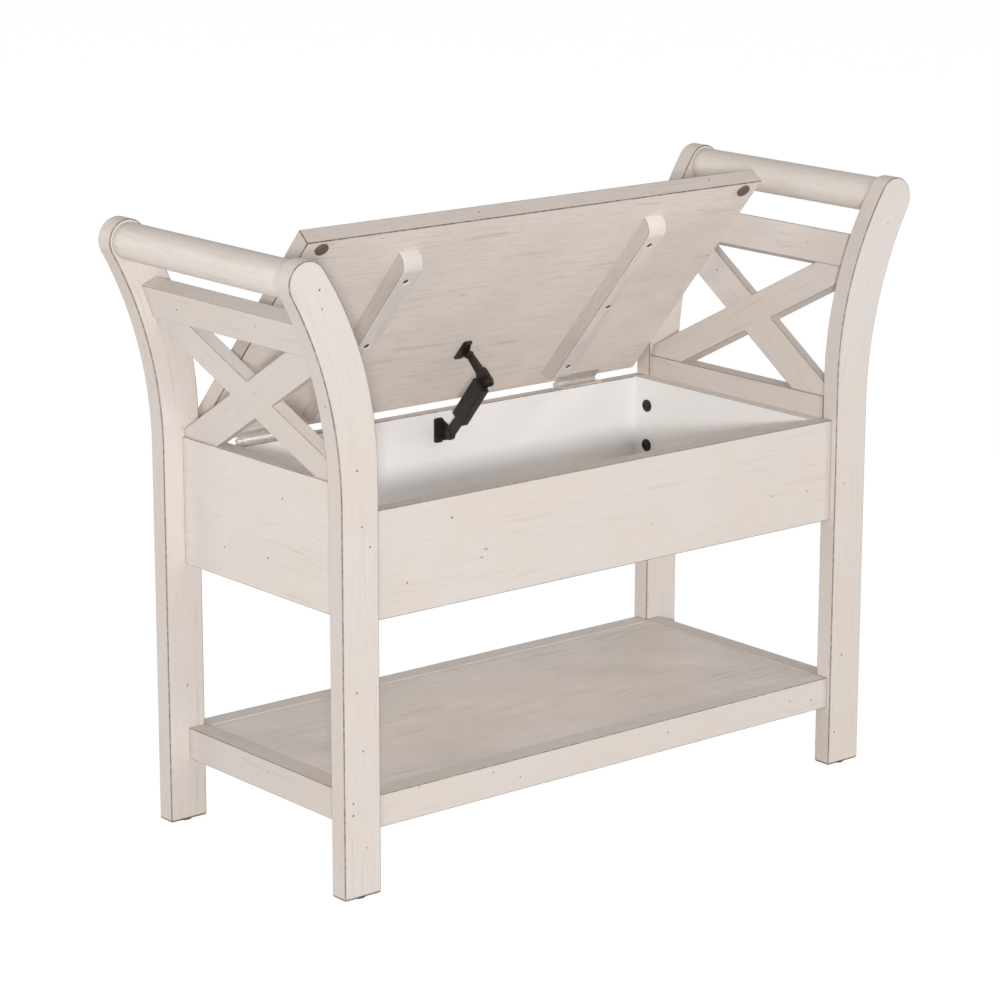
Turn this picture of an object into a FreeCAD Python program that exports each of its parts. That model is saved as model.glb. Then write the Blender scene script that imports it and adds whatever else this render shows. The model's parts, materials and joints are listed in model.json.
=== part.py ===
import FreeCAD, Part
import math
import os

# Lift-lid storage bench: two curved ends with a round hand rail, a flat upper rail and an X brace,
# a lift-lid box between them and an open shelf below. The lid is modelled part open, as it is shown.
# X runs along the bench, the front faces -Y and Z is up. All sizes are in millimetres.

# Ends
foot_span = 916.0
bench_depth = 416.0
leg_width = 58.0
leg_thick = 28.0
outer_curve_start = 519.0
outer_curve_radius = 547.0
inner_curve_start = 557.0
hand_rail_height = 803.94
head_radius = 29.0
leg_ease = 2.5
glide_radius = 11.0
glide_stand = 2.0
glide_stem_radius = 2.5
glide_stem_length = 16.0

# Hand rails, upper rails and X braces
hand_rail_radius = 24.5
spigot_radius = 12.0
spigot_length = 16.0
hand_gap = 29.44
upper_rail_height = 48.0
upper_rail_thick = 26.0
brace_width = 46.0
brace_thick = 19.0
brace_overrun = 14.4

# Side panels
side_inset = 31.0
side_panel_rise = 31.0

# Box
rim_height = 503.0
box_height = 143.0
front_inset = 9.5
front_thick = 23.0
back_inset = 1.0
back_thick = 18.0
box_side_thick = 21.0
box_bottom_rise = 12.0
box_bottom_thick = 9.0
groove_depth = 6.0
board_ease = 2.0
fine_ease = 1.0

# Shelf
shelf_height = 131.0
shelf_rail_height = 44.0
shelf_rail_width = 38.0
shelf_side_inset = 31.5
shelf_front_inset = 6.0
shelf_ledge = 9.0
shelf_panel_thick = 18.0
shelf_panel_drop = 1.5

# Lid
lid_thick = 24.0
lid_depth = 408.0
lid_side_gap = 6.5
lid_gap = 4.0
lid_ease = 2.5
lid_rest_angle = 49.4
batten_spread = 212.8
batten_offset = 4.0
batten_width = 33.0
batten_thick = 22.5
batten_rear = 30.0
batten_length = 332.0
batten_nose = 19.0
batten_screw_end = 35.5
bumper_spread = 365.5
bumper_front = 14.5
bumper_radius = 9.5
bumper_ease = 1.0

# Hinges
hinge_spread = 281.0
hinge_length = 76.0
hinge_knuckles = 5
hinge_leaf_width = 17.0
hinge_leaf_thick = 1.8
hinge_barrel_radius = 3.5
hinge_pin_radius = 1.7
hinge_set_back = 3.7
hinge_reach = 5.5
hinge_corner_radius = 4.0

# Lid stay
stay_centre_x = 14.0
stay_plate_thick = 2.5
stay_bar_thick = 3.0
stay_bar_radius = 8.5
stay_bar_tip_radius = 6.0
stay_box_reach = 21.3
stay_box_drop = 29.0
stay_lid_reach = 115.0
stay_lid_drop = 7.2
stay_pin_radius = 2.5
stay_head_radius = 4.5
stay_head_thick = 1.5
stay_head_ease = 0.9
housing_start = 40.0
housing_length = 73.0
housing_width = 25.0
housing_thick = 13.0
housing_tilt = 3.5
elbow_washer_thick = 0.5
elbow_washer_radius = 5.5
arm_thick = 5.0
arm_elbow_radius = 7.0
arm_knuckle_radius = 12.0
arm_neck_radius = 7.5
arm_tip_radius = 5.0
arm_bend_along = 15.0
arm_bend_in = 3.5
box_plate_width = 15.0
box_plate_height = 35.0
box_plate_rise = 2.5
lid_plate_width = 15.0
lid_plate_length = 36.0
lid_plate_forward = 5.0
plate_corner_radius = 3.0
box_ear_inset = 2.0
lid_ear_inset = 4.0

# Fasteners
bolt_from_corner = 28.5
bolt_floor_rise = 23.7
bolt_rim_drop = 39.1
bolt_radius = 3.0
bolt_length = 40.0
bolt_head_radius = 5.6
bolt_crown_radius = 4.0
bolt_head_height = 3.4
bolt_socket_radius = 2.2
bolt_socket_depth = 2.0
bolt_socket_sides = 6
bolt_tip_room = 1.0
washer_radius = 9.0
washer_thick = 1.5
insert_radius = 5.0
insert_length = 15.0
dowel_radius = 4.0
dowel_length = 34.0
dowel_skin = 9.0
shelf_dowel_edge = 11.9
batten_screw_head = 4.0
batten_screw_shank = 2.0
batten_screw_length = 32.0
hinge_screw_head = 3.4
hinge_screw_shank = 1.6
hinge_screw_length = 15.0
hinge_screw_pitch = 27.4
stay_screw_head = 3.2
stay_screw_shank = 1.5
stay_screw_length = 14.0
box_screw_spread = 11.7
lid_screw_spread = 12.0
slot_reach_share = 0.55
slot_width_share = 0.14
screw_recess = 3.0
screw_clearance = 1.0

# Fits
slip = 0.05
bolt_slack = 0.2
pivot_slack = 0.15
glue_gap = 0.02
panel_gap = 0.5
knuckle_gap = 0.2
seat_gap = 0.3
side_play = 0.1

V = FreeCAD.Vector
TINY = 1e-6
half_span = foot_span / 2
rear_y = bench_depth - leg_thick
opening_half = half_span - leg_width
box_half = opening_half - box_side_thick
side_panel_bottom = rim_height - box_height
side_panel_top = rim_height + side_panel_rise
box_floor = side_panel_bottom + box_bottom_rise + box_bottom_thick
front_inner_y = front_inset + front_thick
back_outer_y = bench_depth - back_inset
back_inner_y = back_outer_y - back_thick
hinge_y = back_outer_y + hinge_set_back
hinge_z = rim_height + lid_gap / 2
lid_rear_y = hinge_y - hinge_reach
lid_under_z = rim_height + lid_gap
lid_half = opening_half - lid_side_gap
shelf_bottom = shelf_height - shelf_rail_height
mid_y = bench_depth / 2
X_AXIS = V(1, 0, 0)
Y_AXIS = V(0, 1, 0)
Z_AXIS = V(0, 0, 1)
nodes = {}


def box(x0, x1, y0, y1, z0, z1):
    """A block between two opposite corners."""
    return Part.makeBox(x1 - x0, y1 - y0, z1 - z0, V(x0, y0, z0))


def rod(radius, start, direction, length):
    """A round rod."""
    return Part.makeCylinder(radius, length, start, direction)


def along(edge, axis):
    """Whether a straight edge runs along an axis."""
    first, last = edge.Vertexes[0].Point, edge.Vertexes[-1].Point
    return abs((last - first).normalize().dot(axis)) > 0.999


def ease(solid, axis, radius):
    """Rounds the edges that run along one axis."""
    return solid.makeFillet(radius, [e for e in solid.Edges if along(e, axis)])


def mirrored(solid):
    """The same piece on the other end of the bench."""
    return solid.mirror(V(0, 0, 0), X_AXIS)


def group(solids):
    """Separate like pieces kept as one node."""
    return Part.makeCompound(solids)


def bored(solid, holes):
    """A piece with its holes cut."""
    return solid.cut(group(holes)) if holes else solid


def turned(solid, centre, axis, degrees):
    """A turned copy."""
    copy = solid.copy()
    copy.rotate(centre, axis, degrees)
    return copy


def outer_face_x(z):
    """The outer face of the left leg at a height, counted inwards from the foot."""
    rise = max(0.0, z - outer_curve_start)
    return math.sqrt(outer_curve_radius ** 2 - rise ** 2) - outer_curve_radius


def inner_face_x(z):
    """The inner face of the left leg at a height, counted inwards from the foot."""
    rise = max(0.0, z - inner_curve_start)
    return leg_width - inner_curve_radius + math.sqrt(inner_curve_radius ** 2 - rise ** 2)


def leg_lean(z):
    """How far the leg leans outwards at a height, in degrees."""
    outer = math.asin(max(0.0, z - outer_curve_start) / outer_curve_radius)
    inner = math.asin(max(0.0, z - inner_curve_start) / inner_curve_radius)
    return math.degrees((outer + inner) / 2)


def head_place():
    """The middle of the leg's round head, which runs smoothly into the outer curve."""
    rise = hand_rail_height - outer_curve_start
    reach = outer_curve_radius + head_radius
    return V(math.sqrt(reach ** 2 - rise ** 2) - outer_curve_radius, 0, hand_rail_height)


def inner_radius():
    """The inner curve's radius, which brings it smoothly from the straight leg to the head."""
    run = leg_width - head.x
    rise = head.z - inner_curve_start
    return (run ** 2 + rise ** 2 - head_radius ** 2) / (2 * (run - head_radius))


head = head_place()
inner_curve_radius = inner_radius()
outer_middle = V(-outer_curve_radius, 0, outer_curve_start)
inner_middle = V(leg_width - inner_curve_radius, 0, inner_curve_start)
hand_rail_x = head.x - half_span
hand_rail_z = head.z
upper_rail_centre = hand_rail_z - hand_rail_radius - hand_gap - upper_rail_height / 2


def leg():
    """The front left leg: straight below, curved outwards above, with a round head."""
    base = glide_stand
    outer_touch = head + (outer_middle - head).normalize() * head_radius
    inner_touch = head + (head - inner_middle).normalize() * head_radius
    top_angle = math.atan2(outer_touch.z - head.z, outer_touch.x - head.x) % (2 * math.pi)
    top_angle = (top_angle + math.atan2(inner_touch.z - head.z, inner_touch.x - head.x)) / 2
    over = head + V(math.cos(top_angle), 0, math.sin(top_angle)) * head_radius
    outer_start = V(0, 0, outer_curve_start)
    inner_start = V(leg_width, 0, inner_curve_start)
    outer_mid_z = (outer_curve_start + outer_touch.z) / 2
    inner_mid_z = (inner_curve_start + inner_touch.z) / 2
    outline = Part.Wire([
        Part.makeLine(V(0, 0, base), outer_start),
        Part.Arc(outer_start, V(outer_face_x(outer_mid_z), 0, outer_mid_z), outer_touch).toShape(),
        Part.Arc(outer_touch, over, inner_touch).toShape(),
        Part.Arc(inner_touch, V(inner_face_x(inner_mid_z), 0, inner_mid_z), inner_start).toShape(),
        Part.makeLine(inner_start, V(leg_width, 0, base)),
        Part.makeLine(V(leg_width, 0, base), V(0, 0, base)),
    ])
    blank = Part.Face(outline).extrude(V(0, leg_thick, 0))
    sharp = []
    for edge in blank.Edges:
        bounds = edge.BoundBox
        if bounds.YLength < TINY or bounds.ZMax < base + TINY:
            sharp.append(edge)
    blank = blank.makeFillet(leg_ease, sharp)
    blank.translate(V(-half_span, 0, 0))
    return blank


def dowel_along_y(x, y, z):
    """A joint dowel centred where two pieces meet, and its hole."""
    start = V(x, y - dowel_length / 2, z)
    return rod(dowel_radius, start, Y_AXIS, dowel_length)


def dowel_along_x(x, y, z):
    """A joint dowel along the bench, centred where two pieces meet."""
    start = V(x - dowel_length / 2, y, z)
    return rod(dowel_radius, start, X_AXIS, dowel_length)


def dowel_hole(dowel, axis):
    """The hole that a dowel is glued in."""
    bounds = dowel.BoundBox
    middle = V((bounds.XMin + bounds.XMax) / 2, (bounds.YMin + bounds.YMax) / 2,
               (bounds.ZMin + bounds.ZMax) / 2)
    length = dowel_length + 2 * glue_gap
    return rod(dowel_radius + glue_gap, middle - axis * (length / 2), axis, length)


def spaced(low, high, count):
    """Even heights between two ends, with half a step left at each."""
    step = (high - low) / count
    return [low + step * (i + 0.5) for i in range(count)]


side_panel_thick = leg_width - side_inset
side_panel_x = -half_span + side_inset + side_panel_thick / 2
rail_middle_x = -half_span + (outer_face_x(upper_rail_centre) + inner_face_x(upper_rail_centre)) / 2
rail_lean = leg_lean(upper_rail_centre)
front_dowel_y = (front_inset + leg_thick) / 2
back_dowel_y = (back_inner_y + back_outer_y) / 2
shelf_dowel_y = (shelf_front_inset + leg_thick) / 2
shelf_dowel_x = -half_span + (shelf_side_inset + leg_width) / 2

side_dowel_z = spaced(side_panel_bottom, side_panel_top, 3)
board_dowel_z = [(side_dowel_z[0] + side_dowel_z[1]) / 2, (side_dowel_z[1] + side_dowel_z[2]) / 2]
box_dowel_z = [side_dowel_z[0], side_dowel_z[1], (board_dowel_z[1] + rim_height) / 2]
shelf_low_z = shelf_bottom + shelf_dowel_edge
shelf_high_z = shelf_height - shelf_dowel_edge

end_dowels = []
for face_y in (leg_thick, rear_y):
    end_dowels += [dowel_along_y(side_panel_x, face_y, z) for z in side_dowel_z]
    end_dowels.append(dowel_along_y(rail_middle_x, face_y, upper_rail_centre))
    end_dowels.append(dowel_along_y(shelf_dowel_x, face_y, shelf_low_z))
end_holes = [dowel_hole(d, Y_AXIS) for d in end_dowels]

cross_dowels_left = []
for dowel_y in (front_dowel_y, back_dowel_y):
    cross_dowels_left += [dowel_along_x(-opening_half, dowel_y, z) for z in board_dowel_z]
for dowel_y in (shelf_dowel_y, bench_depth - shelf_dowel_y):
    cross_dowels_left.append(dowel_along_x(-opening_half, dowel_y, shelf_high_z))
cross_dowels = cross_dowels_left + [mirrored(d) for d in cross_dowels_left]
cross_holes = [dowel_hole(d, X_AXIS) for d in cross_dowels]

box_corner_x = -opening_half + box_side_thick / 2
box_dowels_left = []
for face_y in (front_inner_y, back_inner_y):
    depth = (front_thick if face_y == front_inner_y else back_thick) - dowel_skin
    inward = 1 if face_y == front_inner_y else -1
    for z in box_dowel_z:
        low = min(face_y - inward * depth, face_y + inward * (dowel_length - depth))
        box_dowels_left.append(rod(dowel_radius, V(box_corner_x, low, z), Y_AXIS, dowel_length))
box_dowels = box_dowels_left + [mirrored(d) for d in box_dowels_left]
box_dowel_holes = [dowel_hole(d, Y_AXIS) for d in box_dowels]


def make_legs():
    """Four like legs, each bored for the rails and panels that it carries."""
    front_left = leg()
    rear_left = front_left.copy()
    rear_left.translate(V(0, rear_y, 0))
    spigot = spigot_radius + glue_gap
    rail_start = V(hand_rail_x, leg_thick - spigot_length, hand_rail_z)
    rail_end = V(hand_rail_x, rear_y, hand_rail_z)
    stem_x = -half_span + leg_width / 2
    sockets = []
    for start in (rail_start, rail_end):
        sockets.append(rod(spigot, start, Y_AXIS, spigot_length + glue_gap))
    for stem_y in (leg_thick / 2, bench_depth - leg_thick / 2):
        stem = V(stem_x, stem_y, glide_stand)
        sockets.append(rod(glide_stem_radius + glue_gap, stem, Z_AXIS, glide_stem_length + glue_gap))
    holes = sockets + end_holes + cross_holes
    nodes["leg_front_left"] = bored(front_left, holes)
    nodes["leg_rear_left"] = bored(rear_left, holes)
    nodes["leg_front_right"] = mirrored(nodes["leg_front_left"])
    nodes["leg_rear_right"] = mirrored(nodes["leg_rear_left"])


def make_glides():
    """A nail-on glide under each foot."""
    glides = []
    for side in (-1, 1):
        for y in (leg_thick / 2, bench_depth - leg_thick / 2):
            foot = V(side * (half_span - leg_width / 2), y, 0)
            disc = rod(glide_radius, foot, Z_AXIS, glide_stand)
            stem = rod(glide_stem_radius, foot, Z_AXIS, glide_stand + glide_stem_length)
            glides.append(disc.fuse(stem).removeSplitter())
    nodes["foot_glides"] = group(glides)


def make_hand_rail():
    """A round rail between the leg heads, with a spigot into each leg."""
    rail = rod(hand_rail_radius, V(hand_rail_x, leg_thick, hand_rail_z), Y_AXIS, rear_y - leg_thick)
    spigot = rod(spigot_radius, V(hand_rail_x, leg_thick - spigot_length, hand_rail_z), Y_AXIS,
                 rear_y - leg_thick + 2 * spigot_length)
    nodes["hand_rail_left"] = rail.fuse(spigot).removeSplitter()
    nodes["hand_rail_right"] = mirrored(nodes["hand_rail_left"])


def leaned(solid, degrees, x, z):
    """Leans an upright piece outwards about its own middle line and moves it to its place."""
    copy = turned(solid, V(0, 0, 0), Y_AXIS, -degrees)
    copy.translate(V(x, 0, z))
    return copy


def make_upper_rail():
    """The flat rail below the hand rail, leaning with the leg."""
    half_t, half_h = upper_rail_thick / 2, upper_rail_height / 2
    rail = ease(box(-half_t, half_t, leg_thick, rear_y, -half_h, half_h), Y_AXIS, board_ease)
    rail = bored(leaned(rail, rail_lean, rail_middle_x, upper_rail_centre), end_holes)
    nodes["upper_rail_left"] = rail
    nodes["upper_rail_right"] = mirrored(rail)


def make_braces():
    """Two flat bars that cross with a half lap between the side panel and the upper rail."""
    lean = math.radians(rail_lean)
    top_x = rail_middle_x + math.sin(lean) * upper_rail_height / 2
    top_z = upper_rail_centre - math.cos(lean) * upper_rail_height / 2
    run_x, run_z = top_x - side_panel_x, top_z - side_panel_top
    panel_lean = math.degrees(math.atan2(-run_x, run_z))
    middle_height = math.hypot(run_x, run_z) / 2
    half_length = bench_depth
    brace_angle = math.degrees(math.atan2(middle_height + brace_overrun, mid_y - leg_thick))
    half_w, half_t = brace_width / 2, brace_thick / 2
    centre = V(0, mid_y, middle_height)
    clip = box(-foot_span, 0, leg_thick, rear_y, side_panel_top, head.z)
    above = box(-bench_depth, bench_depth, 0, bench_depth, -upper_rail_height / 2, bench_depth)
    above = leaned(above, rail_lean, rail_middle_x, upper_rail_centre)
    bars = {}
    blanks = {}
    for name, sign in (("rising", -1), ("falling", 1)):
        sharp = box(-half_t, half_t, mid_y - half_length, mid_y + half_length,
                    middle_height - half_w, middle_height + half_w)
        bars[name] = turned(ease(sharp, Y_AXIS, board_ease), centre, X_AXIS, sign * brace_angle)
        blanks[name] = turned(sharp, centre, X_AXIS, sign * brace_angle)
    crossing = blanks["rising"].common(blanks["falling"])
    bars = {name: bar.fuse(crossing).removeSplitter() for name, bar in bars.items()}
    room = 2 * bench_depth
    inner_half = box(0, half_t, -room, room, -room, room)
    outer_half = box(-half_t, 0, -room, room, -room, room)
    bars["falling"] = bars["falling"].cut(blanks["rising"].common(inner_half))
    bars["rising"] = bars["rising"].cut(blanks["falling"].common(outer_half))
    for name, bar in bars.items():
        placed = leaned(bar, panel_lean, side_panel_x, side_panel_top).common(clip).cut(above)
        nodes["brace_%s_left" % name] = placed
        nodes["brace_%s_right" % name] = mirrored(placed)


def bolt_places():
    """Where the box is bolted to the side panels, on the inner face of the left box side."""
    near = front_inner_y + bolt_from_corner
    far = back_inner_y - bolt_from_corner
    heights = (box_floor + bolt_floor_rise, rim_height - bolt_rim_drop)
    return [V(-box_half, y, z) for y in (near, far) for z in heights]


def make_bolts():
    """Bolts, washers and threaded inserts that hold the box between the ends."""
    bolts, washers, inserts = [], [], []
    for place in bolt_places():
        seat = place + X_AXIS * washer_thick
        shank = rod(bolt_radius, seat - X_AXIS * bolt_length, X_AXIS, bolt_length)
        cap = Part.makeCone(bolt_head_radius, bolt_crown_radius, bolt_head_height, seat, X_AXIS)
        socket_top = seat + X_AXIS * bolt_head_height
        corners = []
        for i in range(bolt_socket_sides + 1):
            turn = 2 * math.pi * i / bolt_socket_sides
            corners.append(socket_top + V(0, math.cos(turn), math.sin(turn)) * bolt_socket_radius)
        socket = Part.Face(Part.makePolygon(corners)).extrude(V(-bolt_socket_depth, 0, 0))
        bolts.append(shank.fuse(cap).removeSplitter().cut(socket))
        ring = rod(washer_radius, place, X_AXIS, washer_thick)
        washers.append(ring.cut(rod(bolt_radius + slip, place, X_AXIS, washer_thick)))
        inner = V(-opening_half - insert_length, place.y, place.z)
        sleeve = rod(insert_radius, inner, X_AXIS, insert_length)
        inserts.append(sleeve.cut(rod(bolt_radius + slip, inner, X_AXIS, insert_length)))
    for name, solids in (("box_bolts", bolts), ("bolt_washers", washers), ("bolt_inserts", inserts)):
        nodes[name] = group(solids + [mirrored(s) for s in solids])


def bolt_holes():
    """Clearance holes through the left box side and panel, with the wider socket for each insert."""
    holes = []
    for place in bolt_places():
        tip = place + X_AXIS * (washer_thick - bolt_length - bolt_tip_room)
        holes.append(rod(bolt_radius + bolt_slack, tip, X_AXIS, bolt_length + bolt_tip_room))
        inner = V(-opening_half - insert_length - glue_gap, place.y, place.z)
        holes.append(rod(insert_radius + glue_gap, inner, X_AXIS, insert_length + glue_gap))
    return holes


def make_side_panels():
    """The outer panels between the legs, which carry the X braces and the box."""
    panel = box(-half_span + side_inset, -opening_half, leg_thick, rear_y,
                side_panel_bottom, side_panel_top)
    panel = bored(ease(panel, Y_AXIS, board_ease), end_holes + bolt_holes())
    nodes["side_panel_left"] = panel
    nodes["side_panel_right"] = mirrored(panel)


def bottom_board(gap):
    """The box's bottom board, or with no gap the groove that it slides in."""
    reach = groove_depth - gap
    low = side_panel_bottom + box_bottom_rise + min(gap, slip)
    high = side_panel_bottom + box_bottom_rise + box_bottom_thick - min(gap, slip)
    return box(-box_half - reach, box_half + reach, front_inner_y - reach, back_inner_y + reach,
               low, high)


def hinge_screw_places():
    """Screw centres of both hinges, counted from the middle of the bench."""
    shifts = (-hinge_screw_pitch, 0, hinge_screw_pitch)
    return [side * hinge_spread + shift for side in (-1, 1) for shift in shifts]


def screw(head_radius, shank_radius, length):
    """A flat-head wood screw that points down, with its head's top face at zero."""
    head_height = head_radius - shank_radius
    head_part = Part.makeCone(shank_radius, head_radius, head_height, V(0, 0, -head_height), Z_AXIS)
    shank = rod(shank_radius, V(0, 0, -length), Z_AXIS, length)
    body = shank.fuse(head_part).removeSplitter()
    half, width = head_radius * slot_reach_share, head_radius * slot_width_share
    cross = box(-half, half, -width, width, -head_height / 2, head_height)
    cross = cross.fuse(box(-width, width, -half, half, -head_height / 2, head_height))
    return body.cut(cross)


def screw_seat(head_radius, shank_radius, length, above=0.0):
    """The countersunk hole for such a screw, open for a way above its head."""
    head_height = head_radius - shank_radius
    seat = Part.makeCone(shank_radius + glue_gap, head_radius + glue_gap, head_height,
                         V(0, 0, -head_height), Z_AXIS)
    hole = rod(shank_radius + glue_gap, V(0, 0, -length - glue_gap), Z_AXIS, length + glue_gap)
    seat = seat.fuse(hole)
    if above:
        seat = seat.fuse(rod(head_radius + glue_gap, V(0, 0, 0), Z_AXIS, above))
    return seat


def set_at(solid, x, y, z, pointing=V(0, 0, -1)):
    """A copy of a downward screw or hole, pointed another way and moved to its place."""
    copy = solid.copy()
    copy.Placement = FreeCAD.Placement(V(x, y, z), FreeCAD.Rotation(V(0, 0, -1), pointing))
    return copy


hinge_screw_size = (hinge_screw_head, hinge_screw_shank, hinge_screw_length)
stay_screw_size = (stay_screw_head, stay_screw_shank, stay_screw_length)
batten_screw_size = (batten_screw_head, batten_screw_shank, batten_screw_length)
leaf_near_y = hinge_y - hinge_barrel_radius - hinge_leaf_width
leaf_middle_y = hinge_y - hinge_barrel_radius - hinge_leaf_width / 2
stay_box_y = back_inner_y - stay_box_reach
stay_box_z = rim_height - stay_box_drop
bar_x0 = stay_centre_x - stay_bar_thick / 2
bar_x1 = stay_centre_x + stay_bar_thick / 2
ear_x0 = bar_x1 + seat_gap
ear_x1 = ear_x0 + stay_plate_thick
arm_x0 = bar_x1 + 2 * side_play + elbow_washer_thick
arm_x1 = arm_x0 + arm_thick
lid_ear_x1 = arm_x0 - seat_gap
lid_ear_x0 = lid_ear_x1 - stay_plate_thick
box_plate_x = ear_x1 - box_plate_width / 2
lid_plate_x = lid_ear_x1 - lid_plate_width / 2
box_screw_x = ear_x0 - (box_plate_width - stay_plate_thick) / 2
lid_screw_x = lid_ear_x0 - (lid_plate_width - stay_plate_thick) / 2
box_plate_z = stay_box_z + box_plate_rise
box_screw_z = [box_plate_z - box_screw_spread, box_plate_z + box_screw_spread]
lid_plate_y = lid_rear_y - stay_lid_reach - lid_plate_forward
lid_screw_y = [lid_plate_y - lid_screw_spread, lid_plate_y + lid_screw_spread]


def box_board_holes():
    """Screw holes in the back board: hinge leaves on its top edge and the stay on its face."""
    seat = screw_seat(*hinge_screw_size)
    holes = [set_at(seat, x, leaf_middle_y, rim_height + hinge_leaf_thick)
             for x in hinge_screw_places()]
    seat = screw_seat(*stay_screw_size)
    face = back_inner_y - stay_plate_thick
    return holes + [set_at(seat, box_screw_x, face, z, Y_AXIS) for z in box_screw_z]


def make_box():
    """The lift-lid box: front and back boards, two sides and a bottom in grooves."""
    groove = bottom_board(0.0)
    front = box(-opening_half, opening_half, front_inset, front_inner_y,
                side_panel_bottom, rim_height)
    back = box(-opening_half, opening_half, back_inner_y, back_outer_y,
               side_panel_bottom, rim_height)
    side = box(-opening_half, -box_half, front_inner_y, back_inner_y,
               side_panel_bottom, rim_height)
    holes = cross_holes + box_dowel_holes
    nodes["box_front"] = bored(ease(front, X_AXIS, board_ease).cut(groove), holes)
    nodes["box_back"] = bored(ease(back, X_AXIS, board_ease).cut(groove),
                              holes + box_board_holes())
    nodes["box_side_left"] = bored(side.cut(groove), box_dowel_holes + bolt_holes())
    nodes["box_side_right"] = mirrored(nodes["box_side_left"])
    nodes["box_bottom"] = bottom_board(panel_gap)


def make_shelf():
    """The shelf: four rails that frame a panel dropped into their rebate."""
    x_out = half_span - shelf_side_inset
    seat_x = x_out - shelf_rail_width + shelf_ledge
    seat_y = shelf_front_inset + shelf_rail_width - shelf_ledge
    panel_top = shelf_height - shelf_panel_drop
    pocket = box(-seat_x, seat_x, seat_y, bench_depth - seat_y,
                 panel_top - shelf_panel_thick, shelf_height + shelf_panel_drop)
    front = box(-opening_half, opening_half, shelf_front_inset,
                shelf_front_inset + shelf_rail_width, shelf_bottom, shelf_height)
    back = front.copy()
    back.translate(V(0, bench_depth - 2 * shelf_front_inset - shelf_rail_width, 0))
    side = box(-x_out, -x_out + shelf_rail_width, leg_thick, rear_y, shelf_bottom, shelf_height)
    side = ease(side, Y_AXIS, board_ease).cut(group([front, back]))
    front = ease(front, X_AXIS, board_ease)
    back = ease(back, X_AXIS, board_ease)
    nodes["shelf_rail_front"] = bored(front.cut(pocket), cross_holes)
    nodes["shelf_rail_back"] = bored(back.cut(pocket), cross_holes)
    nodes["shelf_rail_left"] = bored(side.cut(pocket), end_holes)
    nodes["shelf_rail_right"] = mirrored(nodes["shelf_rail_left"])
    panel = box(-seat_x + panel_gap, seat_x - panel_gap, seat_y + panel_gap,
                bench_depth - seat_y - panel_gap, panel_top - shelf_panel_thick, panel_top)
    rim = [e for e in panel.Edges if e.BoundBox.ZMin > panel_top - TINY]
    nodes["shelf_panel"] = panel.makeFillet(fine_ease, rim)


def open_lid(solid):
    """Turns a piece of the shut lid to where the lid rests open."""
    return turned(solid, V(0, hinge_y, hinge_z), V(-1, 0, 0), lid_rest_angle)


def batten():
    """A batten under the shut lid, with both ends rounded away from the box."""
    near = lid_rear_y - batten_rear - batten_length
    far = lid_rear_y - batten_rear
    low = lid_under_z - batten_thick
    slab = box(-batten_width / 2, batten_width / 2, near, far, low, lid_under_z)
    ends = []
    for edge in slab.Edges:
        bounds = edge.BoundBox
        if along(edge, X_AXIS) and bounds.ZMax < low + TINY:
            ends.append(edge)
    return ease(slab.makeFillet(batten_nose, ends), Z_AXIS, fine_ease)


def make_lid():
    """The lid board, its two battens with their screws, and two bumpers."""
    front = lid_rear_y - lid_depth
    board = box(-lid_half, lid_half, front, lid_rear_y, lid_under_z, lid_under_z + lid_thick)
    board = board.makeFillet(lid_ease, board.Edges)
    low = lid_under_z - batten_thick
    up = Z_AXIS
    near = lid_rear_y - batten_rear - batten_length
    far = lid_rear_y - batten_rear
    screw_y = [near + batten_screw_end, (near + far) / 2, far - batten_screw_end]
    wood_screw = screw(*batten_screw_size)
    wood_seat = screw_seat(*batten_screw_size, above=screw_recess + screw_clearance)
    screws, seats = [], []
    for side in (-1, 1):
        for y in screw_y:
            x = batten_offset + side * batten_spread
            screws.append(set_at(wood_screw, x, y, low + screw_recess, up))
            seats.append(set_at(wood_seat, x, y, low + screw_recess, up))
    leaf_seat = screw_seat(*hinge_screw_size)
    leaf_seats = [set_at(leaf_seat, x, leaf_middle_y, lid_under_z - hinge_leaf_thick, up)
                  for x in hinge_screw_places()]
    stay_seat = screw_seat(*stay_screw_size)
    stay_seats = [set_at(stay_seat, lid_screw_x, y, lid_under_z - stay_plate_thick, up)
                  for y in lid_screw_y]
    nodes["lid_board"] = open_lid(bored(board, seats + leaf_seats + stay_seats))
    for name, side in (("left", -1), ("right", 1)):
        bar = batten()
        bar.translate(V(batten_offset + side * batten_spread, 0, 0))
        nodes["lid_batten_%s" % name] = open_lid(bored(bar, seats))
    nodes["batten_screws"] = open_lid(group(screws))
    bumpers = []
    for side in (-1, 1):
        foot = V(side * bumper_spread, front + bumper_front, rim_height + seat_gap)
        pad = rod(bumper_radius, foot, Z_AXIS, lid_gap - seat_gap)
        rim = [e for e in pad.Edges if e.BoundBox.ZMax < foot.z + TINY]
        bumpers.append(pad.makeFillet(bumper_ease, rim))
    nodes["lid_bumpers"] = open_lid(group(bumpers))


def knuckle_spans(first):
    """Every second knuckle of a hinge, from the first one given."""
    pitch = hinge_length / hinge_knuckles
    start = -hinge_length / 2
    return [(start + pitch * i + knuckle_gap / 2, start + pitch * (i + 1) - knuckle_gap / 2)
            for i in range(first, hinge_knuckles, 2)]


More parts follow.
